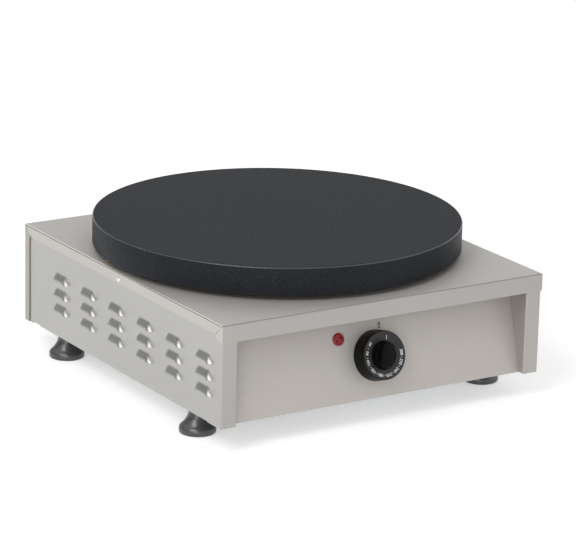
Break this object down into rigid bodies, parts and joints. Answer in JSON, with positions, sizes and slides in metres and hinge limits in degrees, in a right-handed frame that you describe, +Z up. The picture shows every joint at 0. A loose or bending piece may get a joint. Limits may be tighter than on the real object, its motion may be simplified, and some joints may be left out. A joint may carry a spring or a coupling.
{
  "type": "electric crepe maker",
  "caption": "Countertop electric crepe maker: round cast plate on a low louvred stainless case with a slanted panel, dial knob, pilot lamp and levelling feet.",
  "frame": {"origin": "middle of the footprint at the floor, knob grip and gland included", "axes": "+Z up, -Y towards the operator (knob side), +X to the right seen from the operator"},
  "size_m": [0.4046, 0.4504, 0.1752],
  "materials": {
    "galvanised": "galvanised sheet",
    "zinc_steel": "zinc-plated steel",
    "nylon_black": "moulded black nylon",
    "copper": "drawn copper",
    "knob_black": "moulded black phenolic with white print",
    "plate_enamel": "dark blue-grey satin non-stick coat with fine speckle",
    "foot_black": "satin black moulded plastic",
    "stainless": "fine brushed satin stainless",
    "element_steel": "oxidised element sheath",
    "ceramic_fibre": "ceramic-fibre board",
    "lead_sleeve": "glass-fibre sleeved wire",
    "lens_red": "deep red translucent lens",
    "zinc_yellow": "yellow-passivated zinc plate",
    "stainless_bright": "machined stainless",
    "ceramic_white": "steatite ceramic"
  },
  "bodies": {
    "root": {"base_plate": "galvanised", "base_screws": "zinc_steel", "bulb_clip": "zinc_steel", "cable_gland": "nylon_black", "capillary_tube": "copper", "crepe_plate": "plate_enamel", "earth_nuts": "zinc_steel", "earth_stud": "zinc_steel", "element_nut": "zinc_steel", "element_retainer": "galvanised", "element_stud": "zinc_steel", "foot_nuts": "zinc_steel", "front_panel": "stainless", "front_support_bars": "galvanised", "gland_nut": "nylon_black", "heat_shield": "galvanised", "heating_element": "element_steel", "insulation_disc": "ceramic_fibre", "internal_leads": "lead_sleeve", "lamp_body": "nylon_black", "lamp_lens": "lens_red", "lamp_nut": "zinc_steel", "left_side_panel": "stainless", "left_support_bar": "galvanised", "plate_nuts": "zinc_steel", "plate_standoffs": "zinc_yellow", "plate_studs": "zinc_steel", "rear_panel": "stainless", "right_side_panel": "stainless", "right_support_bar": "galvanised", "sensor_bulb": "copper", "side_screws": "stainless_bright", "terminal_block": "ceramic_white", "thermostat_body": "ceramic_white", "thermostat_screws": "zinc_steel", "top_cover": "stainless"},
    "knob": {"control_knob": "knob_black", "thermostat_shaft": "zinc_steel"},
    "foot_front_left": {"foot_front_left": "foot_black", "foot_stud_front_left": "zinc_steel"},
    "foot_front_right": {"foot_front_right": "foot_black", "foot_stud_front_right": "zinc_steel"},
    "foot_rear_left": {"foot_rear_left": "foot_black", "foot_stud_rear_left": "zinc_steel"},
    "foot_rear_right": {"foot_rear_right": "foot_black", "foot_stud_rear_right": "zinc_steel"}
  },
  "joints": [
    {"name": "knob_turn", "type": "hinge", "parent": "root", "child": "knob", "pos_m": [0.0015, -0.19575, 0.07158], "axis": [0, 0.9613, -0.2756], "range_deg": [0, 291]},
    {"name": "foot_front_left_level", "type": "slide", "parent": "root", "child": "foot_front_left", "axis": [0, 0, -1], "range_m": [0, 0.008]},
    {"name": "foot_front_right_level", "type": "slide", "parent": "root", "child": "foot_front_right", "axis": [0, 0, -1], "range_m": [0, 0.008]},
    {"name": "foot_rear_left_level", "type": "slide", "parent": "root", "child": "foot_rear_left", "axis": [0, 0, -1], "range_m": [0, 0.008]},
    {"name": "foot_rear_right_level", "type": "slide", "parent": "root", "child": "foot_rear_right", "axis": [0, 0, -1], "range_m": [0, 0.008]}
  ]
}
